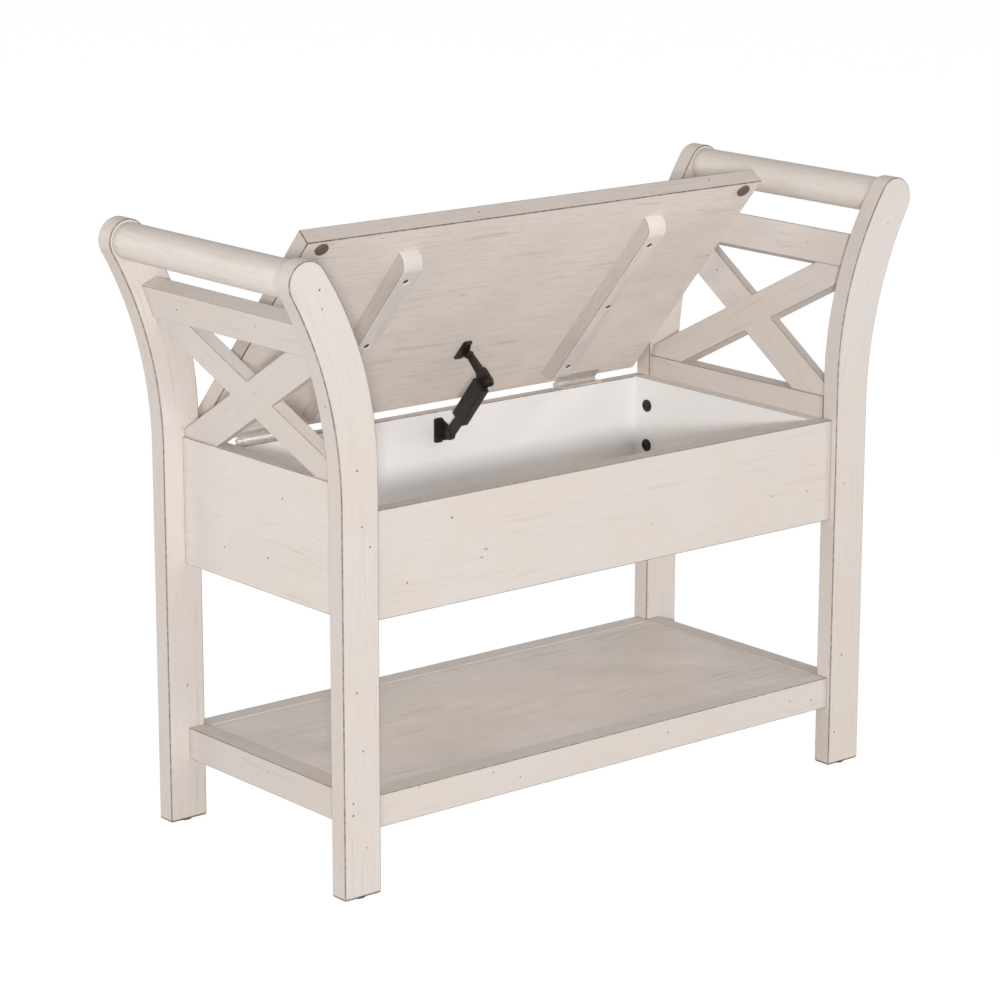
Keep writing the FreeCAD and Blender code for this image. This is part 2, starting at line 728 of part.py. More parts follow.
def hinge_leaf(first, low, centre_x, into):
    """A hinge leaf with its knuckles, cut for its screws."""
    far = hinge_y - hinge_barrel_radius - 2 * knuckle_gap
    high = low + hinge_leaf_thick
    plate = box(-hinge_length / 2, hinge_length / 2, leaf_near_y, far, low, high)
    corners = [e for e in plate.Edges if along(e, Z_AXIS) and e.BoundBox.YMax < leaf_middle_y]
    leaf = plate.makeFillet(hinge_corner_radius, corners)
    bore = rod(hinge_pin_radius + slip, V(-hinge_length, hinge_y, hinge_z), X_AXIS, 2 * hinge_length)
    for x0, x1 in knuckle_spans(first):
        barrel = rod(hinge_barrel_radius, V(x0, hinge_y, hinge_z), X_AXIS, x1 - x0)
        web = box(x0, x1, far - hinge_leaf_thick, hinge_y, low, high)
        leaf = leaf.fuse(barrel).fuse(web)
    leaf = leaf.removeSplitter().cut(bore)
    leaf.translate(V(centre_x, 0, 0))
    seat = screw_seat(*hinge_screw_size)
    top = high if into.z < 0 else low
    return bored(leaf, [set_at(seat, x, leaf_middle_y, top, into) for x in hinge_screw_places()])


def make_hinges():
    """Two butt hinges: box leaf on the rim, lid leaf under the lid, and the pin."""
    down, up = V(0, 0, -1), Z_AXIS
    for name, side in (("left", -1), ("right", 1)):
        x = side * hinge_spread
        nodes["hinge_%s_box_leaf" % name] = hinge_leaf(0, rim_height, x, down)
        shut = hinge_leaf(1, lid_under_z - hinge_leaf_thick, x, up)
        nodes["hinge_%s_lid_leaf" % name] = open_lid(shut)
        start = V(x - hinge_length / 2, hinge_y, hinge_z)
        nodes["hinge_%s_pin" % name] = rod(hinge_pin_radius, start, X_AXIS, hinge_length)
    fixing = screw(*hinge_screw_size)
    box_top = rim_height + hinge_leaf_thick
    lid_top = lid_under_z - hinge_leaf_thick
    places = hinge_screw_places()
    nodes["hinge_box_screws"] = group([set_at(fixing, x, leaf_middle_y, box_top, down)
                                       for x in places])
    nodes["hinge_lid_screws"] = open_lid(group([set_at(fixing, x, leaf_middle_y, lid_top, up)
                                                for x in places]))


def capsule(a, b, radius_a, radius_b, x0, x1):
    """A flat link between two round ends, in a plane across the bench."""
    run = b - a
    side = V(0, -run.z, run.y).normalize()
    base = V(x0, 0, 0)
    corners = [a + side * radius_a, b + side * radius_b, b - side * radius_b, a - side * radius_a]
    corners = [V(0, p.y, p.z) + base for p in corners]
    link = Part.Face(Part.makePolygon(corners + corners[:1])).extrude(V(x1 - x0, 0, 0))
    for middle, radius in ((a, radius_a), (b, radius_b)):
        link = link.fuse(rod(radius, V(x0, middle.y, middle.z), X_AXIS, x1 - x0))
    return link.removeSplitter()


def pin_hole(middle, slack):
    """A hole for a stay pin right through a link."""
    reach = housing_thick + box_plate_width
    start = V(stay_centre_x - reach, middle.y, middle.z)
    return rod(stay_pin_radius + slack, start, X_AXIS, 2 * reach)


def stay_pin(middle, x0, x1):
    """A riveted pin with a head each side of what it joins."""
    shank = rod(stay_pin_radius, V(x0, middle.y, middle.z), X_AXIS, x1 - x0)
    near = rod(stay_head_radius, V(x0 - stay_head_thick, middle.y, middle.z), X_AXIS,
               stay_head_thick)
    far = rod(stay_head_radius, V(x1, middle.y, middle.z), X_AXIS, stay_head_thick)
    near = near.makeFillet(stay_head_ease, [near.Edges[i] for i in edge_at(near, x0)])
    return shank.fuse(near).fuse(far).removeSplitter()


def edge_at(disc, joined_x):
    """The rim edges of a rivet head that stand away from the shank."""
    found = []
    for i, edge in enumerate(disc.Edges):
        bounds = edge.BoundBox
        if bounds.XLength < TINY and abs(bounds.XMin - joined_x) > stay_head_thick / 2:
            found.append(i)
    return found


hinge_point = V(0, hinge_y, hinge_z)
stay_box_pivot = V(0, stay_box_y, stay_box_z)
lid_pivot_shut = V(0, lid_rear_y - stay_lid_reach, lid_under_z - stay_lid_drop)
turn_open = FreeCAD.Rotation(V(-1, 0, 0), lid_rest_angle)
stay_lid_pivot = hinge_point + turn_open.multVec(lid_pivot_shut - hinge_point)
stay_elbow = stay_box_pivot + (stay_lid_pivot - hinge_point)


def make_stay_brackets():
    """The stay's two brackets, each a plate with an ear that holds a pin."""
    a = stay_box_pivot
    face = back_inner_y
    half_w, half_h = box_plate_width / 2, box_plate_height / 2
    plate = box(box_plate_x - half_w, box_plate_x + half_w, face - stay_plate_thick, face,
                box_plate_z - half_h, box_plate_z + half_h)
    plate = ease(plate, Y_AXIS, plate_corner_radius)
    root_y = face - stay_plate_thick / 2
    root_h = half_h - box_ear_inset
    corners = [V(ear_x0, root_y, box_plate_z + root_h), V(ear_x0, a.y, a.z + stay_bar_radius),
               V(ear_x0, a.y, a.z - stay_bar_radius), V(ear_x0, root_y, box_plate_z - root_h)]
    ear = Part.Face(Part.makePolygon(corners + corners[:1])).extrude(V(stay_plate_thick, 0, 0))
    ear = ear.fuse(rod(stay_bar_radius, V(ear_x0, a.y, a.z), X_AXIS, stay_plate_thick))
    seat = screw_seat(*stay_screw_size)
    front = face - stay_plate_thick
    holes = [set_at(seat, box_screw_x, front, z, Y_AXIS) for z in box_screw_z]
    holes.append(pin_hole(a, glue_gap))
    nodes["stay_box_bracket"] = bored(plate.fuse(ear).removeSplitter(), holes)
    fixing = screw(*stay_screw_size)
    nodes["stay_box_screws"] = group([set_at(fixing, box_screw_x, front, z, Y_AXIS)
                                      for z in box_screw_z])

    b = lid_pivot_shut
    half_w, half_l = lid_plate_width / 2, lid_plate_length / 2
    low = lid_under_z - stay_plate_thick
    plate = box(lid_plate_x - half_w, lid_plate_x + half_w, lid_plate_y - half_l,
                lid_plate_y + half_l, low, lid_under_z)
    plate = ease(plate, Z_AXIS, plate_corner_radius)
    root_z = lid_under_z - stay_plate_thick / 2
    ear_r = arm_tip_radius
    root_l = half_l - lid_ear_inset
    corners = [V(lid_ear_x0, lid_plate_y - root_l, root_z), V(lid_ear_x0, b.y - ear_r, b.z),
               V(lid_ear_x0, b.y + ear_r, b.z), V(lid_ear_x0, lid_plate_y + root_l, root_z)]
    ear = Part.Face(Part.makePolygon(corners + corners[:1])).extrude(V(stay_plate_thick, 0, 0))
    ear = ear.fuse(rod(ear_r, V(lid_ear_x0, b.y, b.z), X_AXIS, stay_plate_thick))
    holes = [set_at(seat, lid_screw_x, y, low, Z_AXIS) for y in lid_screw_y]
    holes.append(pin_hole(b, glue_gap))
    nodes["stay_lid_bracket"] = open_lid(bored(plate.fuse(ear).removeSplitter(), holes))
    nodes["stay_lid_screws"] = open_lid(group([set_at(fixing, lid_screw_x, y, low, Z_AXIS)
                                               for y in lid_screw_y]))


def make_stay_links():
    """The stay's long bar in its housing, its bent arm, and the three pins."""
    a, b, e = stay_box_pivot, stay_lid_pivot, stay_elbow
    bar = capsule(a, e, stay_bar_radius, stay_bar_tip_radius, bar_x0, bar_x1)
    nodes["stay_bar"] = bored(bar, [pin_hole(a, slip), pin_hole(e, glue_gap)])
    run = (e - a).normalize()
    side = V(0, -run.z, run.y)
    near = a + run * housing_start
    half = side * (housing_width / 2)
    x1 = bar_x1 + side_play
    x0 = x1 - housing_thick
    corners = [near + half, near - half, near - half + run * housing_length,
               near + half + run * housing_length]
    corners = [V(x0, p.y, p.z) for p in corners]
    housing = Part.Face(Part.makePolygon(corners + corners[:1])).extrude(V(x1 - x0, 0, 0))
    outer = [edge for edge in housing.Edges if edge.BoundBox.XMax < x0 + TINY]
    middle = near + run * (housing_length / 2)
    housing = turned(housing.makeFillet(board_ease, outer), middle, V(-1, 0, 0), housing_tilt)
    slot = capsule(a, e, stay_bar_radius + side_play, stay_bar_tip_radius + side_play,
                   bar_x0 - side_play, bar_x0 + housing_thick)
    nodes["stay_housing"] = housing.cut(slot)

    to_b = (b - e).normalize()
    lift = V(0, -to_b.z, to_b.y)
    bend = e + to_b * arm_bend_along - lift * arm_bend_in
    lower = capsule(e, bend, arm_elbow_radius, arm_knuckle_radius, arm_x0, arm_x1)
    upper = capsule(bend, b, arm_neck_radius, arm_tip_radius, arm_x0, arm_x1)
    arm = lower.fuse(upper).removeSplitter()
    nodes["stay_arm"] = bored(arm, [pin_hole(e, slip), pin_hole(b, pivot_slack)])

    disc = rod(elbow_washer_radius, V(bar_x1 + side_play, e.y, e.z), X_AXIS,
               elbow_washer_thick)
    nodes["stay_friction_washer"] = disc.cut(pin_hole(e, slip))
    nodes["stay_box_pin"] = stay_pin(a, bar_x0 - side_play, ear_x1)
    nodes["stay_elbow_pin"] = stay_pin(e, bar_x0, arm_x1 + side_play)
    nodes["stay_lid_pin"] = stay_pin(b, lid_ear_x0, arm_x1 + side_play)


def make_dowels():
    """The glued joint dowels."""
    nodes["end_dowels_left"] = group(end_dowels)
    nodes["end_dowels_right"] = group([mirrored(d) for d in end_dowels])
    nodes["cross_dowels"] = group(cross_dowels)
    nodes["box_dowels"] = group(box_dowels)


make_legs()
make_glides()
make_hand_rail()
make_upper_rail()
make_braces()
make_side_panels()
make_bolts()
make_box()
make_shelf()
make_lid()
make_hinges()
make_stay_brackets()
make_stay_links()
make_dowels()

# The origin lies on the floor under the middle of the whole bench with its lid as shown.
bounds = Part.makeCompound(list(nodes.values())).optimalBoundingBox(False, False)
shift = V(0, -(bounds.YMin + bounds.YMax) / 2, 0)
os.makedirs("parts", exist_ok=True)
for node_name, node_shape in nodes.items():
    node_shape.translate(shift)
    node_shape.exportStep("parts/%s.step" % node_name)
    if not node_shape.isValid():
        print("not valid:", node_name)
print("nodes", len(nodes), "shift", round(shift.y, 3))
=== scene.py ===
import json
import math
import random

import bmesh
import bpy
from bpy.props import FloatProperty, FloatVectorProperty, IntProperty, PointerProperty
from mathutils import Matrix, Vector


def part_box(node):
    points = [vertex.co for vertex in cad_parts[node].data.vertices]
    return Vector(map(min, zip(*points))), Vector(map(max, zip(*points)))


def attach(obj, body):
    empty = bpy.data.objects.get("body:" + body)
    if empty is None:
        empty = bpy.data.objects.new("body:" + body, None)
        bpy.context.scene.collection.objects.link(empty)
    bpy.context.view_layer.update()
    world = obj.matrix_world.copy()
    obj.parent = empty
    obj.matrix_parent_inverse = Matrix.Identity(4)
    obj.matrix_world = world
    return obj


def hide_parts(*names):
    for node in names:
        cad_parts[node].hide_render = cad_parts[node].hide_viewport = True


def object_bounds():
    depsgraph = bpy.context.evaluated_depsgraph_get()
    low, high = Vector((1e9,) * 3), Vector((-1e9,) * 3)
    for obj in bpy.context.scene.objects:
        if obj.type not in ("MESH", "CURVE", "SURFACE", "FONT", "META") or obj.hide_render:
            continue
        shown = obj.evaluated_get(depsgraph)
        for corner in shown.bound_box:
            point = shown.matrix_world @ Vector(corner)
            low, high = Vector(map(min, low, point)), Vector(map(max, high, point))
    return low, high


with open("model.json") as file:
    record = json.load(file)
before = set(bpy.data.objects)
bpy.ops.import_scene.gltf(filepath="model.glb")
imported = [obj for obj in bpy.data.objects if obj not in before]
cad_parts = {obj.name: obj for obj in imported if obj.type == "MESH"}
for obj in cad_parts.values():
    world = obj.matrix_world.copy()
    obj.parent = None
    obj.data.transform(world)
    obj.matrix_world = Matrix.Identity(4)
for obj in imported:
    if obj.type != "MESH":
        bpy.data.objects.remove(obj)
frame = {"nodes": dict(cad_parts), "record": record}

bl_info = {
    "name": "Limewashed Storage Bench",
    "version": (1, 0, 0),
    "blender": (4, 5, 0),
    "location": "3D View > Sidebar > Bench",
    "description": "Paints, glazes and wears a lift-lid storage bench and sets it in a plain studio",
    "category": "Add Mesh",
}

CAD_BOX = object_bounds()
NODES = frame["nodes"]
SIDES = ("left", "right")
BODY_OF = {node: body for body, nodes in frame["record"]["behaviour"]["bodies"].items()
           for node in nodes}
SLOT_OF = {part["node"]: part["material_slot"] for part in frame["record"]["subparts"]}
X, Y, Z = 0, 1, 2

# The bench's own levels, read from its pieces. All lengths are in metres.
RIM_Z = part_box("box_front")[1].z
FLOOR_Z = 0.0
PANEL_INNER_X = -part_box("side_panel_left")[1].x

# Planes where crosspieces meet what carries them: inside the legs and at the box front's ends.
LEG_FACES = ((Y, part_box("leg_front_left")[1].y), (Y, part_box("leg_rear_left")[0].y))
BOX_ENDS = tuple((X, corner.x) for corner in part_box("box_front"))

# Where the legs' outward curve starts, and its radius. The grain follows it.
LEG_CURVE_START = 0.519
LEG_CURVE_RADIUS = 0.547

# The grain's scales along, across and through a board, how far it wanders, and how far the
# pattern moves for each step of a board's seed.
STREAK_SCALE = (6.5, 150.0, 150.0)
HAIR_SCALE = (30.0, 1100.0, 1100.0)
PATCH_SCALE = (4.0, 14.0, 14.0)
GRAIN_SWAY = 0.02
SEED_STEP = (1.37, 0.71, 2.13)

# How squarely a face looks along an axis, between a rounded edge and a flat face.
BOARD_EDGE = (0.86, 0.993)
LEG_EDGE_START = (0.22, 0.55)
LEG_EDGE_END = (0.90, 0.992)
UPWARD = (0.75, 0.95)

# At a joint, glaze lies as a dark line with a soft band of painted shade around it.
# At the foot of each leg lies a dark band: glaze on the eased edge and a painted contact shadow.
SEAM_REACH, SEAM_SHARE = (0.0002, 0.0016), 0.50
PAINTED_SHADE_REACH, PAINTED_SHADE_SHARE = (0.0, 0.014), 0.15
FOOT_REACH, FOOT_SHARE = (0.0030, 0.0062), 1.5

# Each lamp's name, place, width and power setting. All of them aim at one point of the bench.
LAMPS = (
    ("front_softbox", (-6.1, -7.8, 2.26), 0.7, "front_light"),
    ("high_softbox", (1.6, -4.2, 2.9), 1.6, "high_light"),
    ("left_softbox", (-6.5, -1.3, 1.66), 3.2, "side_light"),
    ("right_softbox", (3.6, -3.0, 1.9), 0.5, "right_light"),
    ("back_softbox", (-3.5, 6.5, 2.2), 2.5, "back_light"),
)
LAMP_AIM = Vector((0.0, 0.0, 0.42))
ROOM_TINT = (1.0, 0.985, 0.97)
FLOOR_REACH = 60.0
FLOOR_TINT = (0.88, 0.88, 0.88)
FLOOR_GLOW = 1.17
WHITE = (1.0, 1.0, 1.0)
SENSOR_WIDTH = 36.0
SIGHT_END = 200.0

# Where the photograph shows small worm holes and knocks, as pixels of its 1000 by 1000 frame.
PHOTO_SIZE = 1000
PHOTO_HOLES = (
    (319.5, 290), (322, 309), (357, 471), (362, 527), (370, 547), (356.7, 693.3), (363, 751.5),
    (353.4, 803.9), (353.5, 816), (367, 848), (888, 223), (841.5, 655), (834, 732), (844, 483.5),
    (407.2, 582.8), (452.1, 517.6), (651.7, 523.6), (806.6, 491.1), (282.3, 498.6),
    (224.3, 547), (267.9, 558.3), (188.5, 437.5), (419.4, 786.4), (493.6, 772.4), (520.3, 776.6),
    (668.3, 732.4), (789.6, 701.2), (811.4, 700.2), (709, 179.5), (479.3, 212.2), (807, 242),
    (717, 270), (176.5, 309.7), (255.6, 326.4), (254.1, 393.6), (325, 406.6), (187.7, 685.3),
    (268, 771.8),
)
PHOTO_SCUFFS = ((772.8, 496.1), (481.6, 557.4), (382, 238.6), (463.4, 295.1), (486, 549))

# How the marks are cut: the seed, the ranges of their random size and roughness, how far they
# stand out of the face, and how a scuff differs from a hole.
MARK_SEED = 29
MARK_SIZES = (0.75, 1.15)
MARK_ROUGHNESS = (0.86, 1.12)
MARK_RISE = 0.15
SCUFF_STRETCH = 2.6
SCUFF_DEPTH = 0.45

# The screw pockets in the battens: a straight bore, its depth, and the depth of the flared
# mouth with what is cut above the face.
POCKET_BORE = 0.0042
POCKET_DEPTH = 0.0029
POCKET_FLARE = 0.0014
POCKET_OVERCUT = 0.0004
POCKET_SIDES = 32
POCKETS_APART = 0.02

# The finishes of cut faces, by their place in the cutter's list.
HOLE, SCUFF, POCKET = 0, 1, 2
SAME_POINT = 1e-6
SHARP_ANGLE = math.radians(32)


class BenchPaint(bpy.types.PropertyGroup):
    """Colours of the paint, the glaze and the metalwork."""

    cream: FloatVectorProperty(name="Cream wash", description="Limewash on the ends and boards",
                               subtype="COLOR", min=0, max=1, default=(0.765, 0.69, 0.625))
    blush: FloatVectorProperty(name="Cool wash", description="Where the limewash lies thicker",
                               subtype="COLOR", min=0, max=1, default=(0.765, 0.705, 0.672))
    lid: FloatVectorProperty(name="Lid wash", description="Thinner wash on the lid",
                             subtype="COLOR", min=0, max=1, default=(0.87, 0.79, 0.73))
    shelf: FloatVectorProperty(name="Shelf wash", description="Grey wash on the shelf panel",
                               subtype="COLOR", min=0, max=1, default=(0.80, 0.725, 0.665))
    inside: FloatVectorProperty(name="Box white", description="Paint inside the box",
                                subtype="COLOR", min=0, max=1, default=(0.93, 0.912, 0.90))
    # The rim colour is a grey-brown that also paints shade on top faces, on the legs' sides and on
    # the box rim.
    rim: FloatVectorProperty(name="Rim wash", description="Worn top edges of the box",
                             subtype="COLOR", min=0, max=1, default=(0.50, 0.43, 0.385))
    # The grain colour also darkens whole boards as painted shade, by their shade setting.
    grain: FloatVectorProperty(name="Grain", description="Grey-brown of the open grain",
                               subtype="COLOR", min=0, max=1, default=(0.40, 0.335, 0.29))
    # The glaze colour also paints shade around the joints and a contact shadow at the feet.
    glaze: FloatVectorProperty(name="Glaze", description="Brown glaze left on edges and in holes",
                               subtype="COLOR", min=0, max=1, default=(0.15, 0.10, 0.08))
    raw: FloatVectorProperty(name="Bare wood", description="Dowels and other unpainted wood",
                             subtype="COLOR", min=0, max=1, default=(0.55, 0.38, 0.22))
    bronze: FloatVectorProperty(name="Black bronze", description="Lid stay and bolts",
                                subtype="COLOR", min=0, max=1, default=(0.028, 0.022, 0.02))
    nickel: FloatVectorProperty(name="Nickel", description="Hinges and their screws",
                                subtype="COLOR", min=0, max=1, default=(0.84, 0.82, 0.80))
    bumper: FloatVectorProperty(name="Bumper", description="Soft pads under the lid",
                                subtype="COLOR", min=0, max=1, default=(0.125, 0.08, 0.062))


class BenchWear(bpy.types.PropertyGroup):
    """How worn the bench is."""

    hole_radius: FloatProperty(name="Hole radius", description="Radius of a worm hole",
                               unit="LENGTH", default=0.0014, min=0.0005, max=0.004)
    hole_depth: FloatProperty(name="Hole depth", description="How deep a worm hole is",
                              unit="LENGTH", default=0.0010, min=0.0003, max=0.004)
    pocket_radius: FloatProperty(name="Pocket radius", description="Radius of the screw pockets "
                                 "in the battens at their mouth", unit="LENGTH",
                                 default=0.0055, min=0.004, max=0.008)
    hidden_holes: IntProperty(name="Holes out of view", description="Rays for holes on each side "
                              "that the photograph doesn't show", default=26, min=0, max=200)
    glaze_share: FloatProperty(name="Glaze on edges", description="How dark the edges are",
                               subtype="FACTOR", default=0.80, min=0, max=1)


class BenchStudio(bpy.types.PropertyGroup):
    """Camera, lamps and floor."""

    lens: FloatProperty(name="Lens", description="Focal length for a 36 mm sensor, in millimetres",
                        default=126.4, min=10, max=400)
    heading: FloatProperty(name="Heading", description="How far the camera is turned from the "
                           "bench's depth", subtype="ANGLE", default=math.radians(39.60))
    pitch: FloatProperty(name="Pitch", description="How far the camera looks down",
                         subtype="ANGLE", default=math.radians(14.264))
    roll: FloatProperty(name="Roll", description="How far the camera leans",
                        subtype="ANGLE", default=math.radians(0.08))
    place: FloatVectorProperty(name="Camera place", description="Where the camera stands",
                               subtype="TRANSLATION", default=(-2.9778, -3.5691, 1.59405))
    front_light: FloatProperty(name="Front lamp", description="Power of the low softbox in "
                               "front, to the left", default=540, min=0, max=4000)
    high_light: FloatProperty(name="High lamp", description="Power of the high front softbox",
                              default=15, min=0, max=2000)
    side_light: FloatProperty(name="Side lamp", description="Power of the left softbox",
                              default=60, min=0, max=4000)
    right_light: FloatProperty(name="Right lamp", description="Power of the small right lamp",
                               default=22, min=0, max=2000)
    back_light: FloatProperty(name="Back lamp", description="Power of the softbox behind",
                              default=105, min=0, max=4000)
    room_light: FloatProperty(name="Room light", description="Even light from the white room",
                              subtype="FACTOR", default=0.32, min=0, max=2)
    floor_white: FloatProperty(name="Floor white", description="How much of the floor's white "
                               "the camera sees whatever falls on it", subtype="FACTOR",
                               default=0.80, min=0, max=1)


class Signal:
    """One value in a finish. Sums and products of signals put in the Math nodes they need."""

    def __init__(self, finish, socket):
        self.finish = finish
        self.socket = socket

    def math(self, operation, first, second=0.0):
        return self.finish.node("ShaderNodeMath", {"operation": operation}, {0: first, 1: second})

    def __add__(self, other):
        return self.math("ADD", self, other)

    def __sub__(self, other):
        return self.math("SUBTRACT", self, other)

    def __rsub__(self, other):
        return self.math("SUBTRACT", other, self)

    def __mul__(self, other):
        return self.math("MULTIPLY", self, other)

    def __pow__(self, other):
        return self.math("POWER", self, other)

    def __abs__(self):
        return self.math("ABSOLUTE", self)

    __rmul__ = __mul__

    def at_least(self, other):
        return self.math("MAXIMUM", self, other)

    def ease(self, low, high):
        """Rises smoothly from 0 at low to 1 at high."""
        return self.finish.node("ShaderNodeMapRange", {"interpolation_type": "SMOOTHSTEP"},
                                {"Value": self, "From Min": low, "From Max": high})


class Finish:
    """A node material that is built up step by step."""

    def __init__(self, name):
        self.material = bpy.data.materials.new(name)
        self.material.use_nodes = True
        self.tree = self.material.node_tree
        self.tree.nodes.clear()

    def node(self, kind, settings=None, inputs=None, output=0):
        """Adds a node: its settings first, then the values or links of its sockets."""
        made = self.tree.nodes.new(kind)
        for key, value in (settings or {}).items():
            setattr(made, key, value)
        for key, value in (inputs or {}).items():
            if isinstance(value, Signal):
                self.tree.links.new(value.socket, made.inputs[key])
            else:
                made.inputs[key].default_value = value
        return Signal(self, made.outputs[output]) if output is not None else None

    def vector(self, operation, first, second):
        return self.node("ShaderNodeVectorMath", {"operation": operation}, {0: first, 1: second})

    def split(self, vector):
        parts = self.node("ShaderNodeSeparateXYZ", None, {0: vector})
        return [Signal(self, socket) for socket in parts.socket.node.outputs]

    def joined(self, x, y, z):
        return self.node("ShaderNodeCombineXYZ", None, {0: x, 1: y, 2: z})

    def mix(self, base, over, share):
        """Lays one colour over another."""
        return self.node("ShaderNodeMix", {"data_type": "RGBA"}, {0: share, 6: base, 7: over},
                         output=2)

    def noise(self, vector, scale=1.0, detail=3.0, rough=0.5):
        return self.node("ShaderNodeTexNoise", None, {
            "Vector": vector, "Scale": scale, "Detail": detail, "Roughness": rough})

    def place(self):
        return self.node("ShaderNodeTexCoord", output="Object")

    def facing(self):
        return self.node("ShaderNodeTexCoord", output="Normal")

    def bump(self, height, strength, distance):
        return self.node("ShaderNodeBump", None, {
            "Height": height, "Strength": strength, "Distance": distance})

    def surface(self, **sockets):
        """The surface itself; each key is a Principled socket with spaces as underscores."""
        shader = self.node("ShaderNodeBsdfPrincipled", None, {
            key.replace("_", " "): value for key, value in sockets.items()})
        self.node("ShaderNodeOutputMaterial", None, {"Surface": shader}, output=None)
        return self.material


def solid(colour):
    """A colour for a socket, with full alpha."""
    return (*colour, 1.0)


def give(node, material):
    """Puts a finish on a CAD piece through its material slots."""
    for slot in NODES[node].material_slots:
        slot.material = material


def board_axes(node):
    """A board's own axes as rows (along, across, through), its middle and its half sizes.

    Opposite faces count as one, by a direction that no face of the bench lies along.
    """
    mesh = NODES[node].data
    areas = {}
    for face in mesh.polygons:
        normal = Vector([round(part, 3) for part in face.normal])
        if normal.dot(Vector((1.0, 0.31, 0.17))) < 0:
            normal = -normal
        key = tuple(round(part, 2) + 0.0 for part in normal)
        entry = areas.setdefault(key, [0.0, Vector()])
        entry[0] += face.area
        entry[1] += normal * face.area
    ranked = sorted(areas.values(), key=lambda entry: -entry[0])
    through = ranked[0][1].normalized()
    across = next(e[1].normalized() for e in ranked if abs(e[1].normalized().dot(through)) < 0.05)
    along = across.cross(through).normalized()
    across = through.cross(along)
    turn = Matrix((along, across, through))
    local = [turn @ v.co for v in mesh.vertices]
    low = Vector([min(p[i] for p in local) for i in range(3)])
    high = Vector([max(p[i] for p in local) for i in range(3)])
    return turn, (low + high) / 2, (high - low) / 2


class Wash:
    """What sets one board's paint apart from the next one's.

    streak and hair are shares of grain, edge scales the glaze on the edges, seed moves the
    pattern, joints are planes that hold glaze and painted shade, shade darkens the whole board
    as painted shade, and extra adds the board's own wear and, on some boards, painted shade.
    """

    def __init__(self, base, over, streak=0.30, hair=0.22, edge=1.0, seed=0.0, joints=(),
                 shade=0.0, extra=None, round_ends=False):
        self.base = base
        self.over = over
        self.streak = streak
        self.hair = hair
        self.edge = edge
        self.seed = seed
        self.joints = joints
        self.shade = shade
        self.extra = extra
        self.round_ends = round_ends


def grain_pattern(finish, local, seed, sides):
    """Soft clouds, long grey streaks and fine hairs that run along the first axis."""
    moved = finish.vector("ADD", local, tuple(seed * step for step in SEED_STEP))
    cloud = finish.noise(moved, scale=7.0, detail=3.0).ease(0.36, 0.66)
    wavy = finish.noise(moved, scale=5.0, detail=1.0)
    sway = finish.joined(0.0, (wavy - 0.5) * GRAIN_SWAY, 0.0)
    swayed = finish.vector("ADD", moved, sway)
    long_way = finish.vector("MULTIPLY", swayed, STREAK_SCALE)
    streak = finish.noise(long_way, detail=5.0, rough=0.62).ease(0.52, 0.72)
    short_way = finish.vector("MULTIPLY", swayed, HAIR_SCALE)
    hair = finish.noise(short_way, detail=2.0).ease(0.5, 0.8)
    patch = finish.noise(finish.vector("MULTIPLY", moved, PATCH_SCALE), detail=3.0)
    return cloud, streak * patch.ease(0.35, 0.62) * sides, hair * (sides * 0.7 + 0.3)


def paint_over(finish, wash, place, local, facing, arris, sides=1.0):
    """The limewash itself: clouds, grain, glaze on the edges and at the joints, and painted
    shade around the joints and on darkened boards.
    """
    paint = bpy.context.scene.bench_paint
    wear = bpy.context.scene.bench_wear
    cloud, streak, hair = grain_pattern(finish, local, wash.seed, sides)
    colour = finish.mix(solid(wash.base), solid(wash.over), cloud)
    # wash.shade mixes the whole board towards the grain colour: painted shade.
    colour = finish.mix(colour, solid(paint.grain), streak * wash.streak + wash.shade)
    colour = finish.mix(colour, solid(paint.grain), hair * wash.hair)
    axes = finish.split(place)
    if wash.extra:
        colour = wash.extra(finish, colour, axes, finish.split(facing), hair)
    broken = finish.noise(place, scale=140.0, detail=2.0).ease(0.30, 0.62)
    line = arris * (broken * 0.3 + 0.7) * (wear.glaze_share * wash.edge)
    colour = finish.mix(colour, solid(paint.glaze), line)
    for axis, value in wash.joints:
        # At each joint: a dark glaze seam, and around it a soft band of painted shade.
        away = abs(axes[axis] - value)
        seam = (1 - away.ease(*SEAM_REACH)) * SEAM_SHARE
        joint_shade = (1 - away.ease(*PAINTED_SHADE_REACH)) * PAINTED_SHADE_SHARE
        colour = finish.mix(colour, solid(paint.glaze), seam + joint_shade)
    height = hair * 0.5 + streak * 0.35 + broken * 0.15
    rough = hair * 0.10 + streak * 0.08 + 0.50
    return finish.surface(Base_Color=colour, Roughness=rough, Specular_IOR_Level=0.35,
                          Normal=finish.bump(height, 0.22, 0.0004))


def board_finish(node, wash):
    """Paint for a straight board, in the board's own axes."""
    turn, middle, _ = board_axes(node)
    finish = Finish(node + "_paint")
    place = finish.place()
    turned = {"Rotation": tuple(turn.to_euler("XYZ"))}
    local = finish.node("ShaderNodeVectorRotate", {"rotation_type": "EULER_XYZ"},
                        {"Vector": place, **turned})
    local = finish.vector("SUBTRACT", local, tuple(middle))
    facing = finish.facing()
    own = finish.node("ShaderNodeVectorRotate", {"rotation_type": "EULER_XYZ"},
                      {"Vector": facing, **turned})
    parts = [abs(part) for part in finish.split(own)]
    flat = parts[0].at_least(parts[1]).at_least(parts[2])
    arris = 1 - flat.ease(*BOARD_EDGE)
    if wash.round_ends:
        arris = arris * parts[1].ease(0.08, 0.25)
    sides = 1 - parts[0].ease(0.5, 0.8)
    give(node, paint_over(finish, wash, place, local, facing, arris, sides))


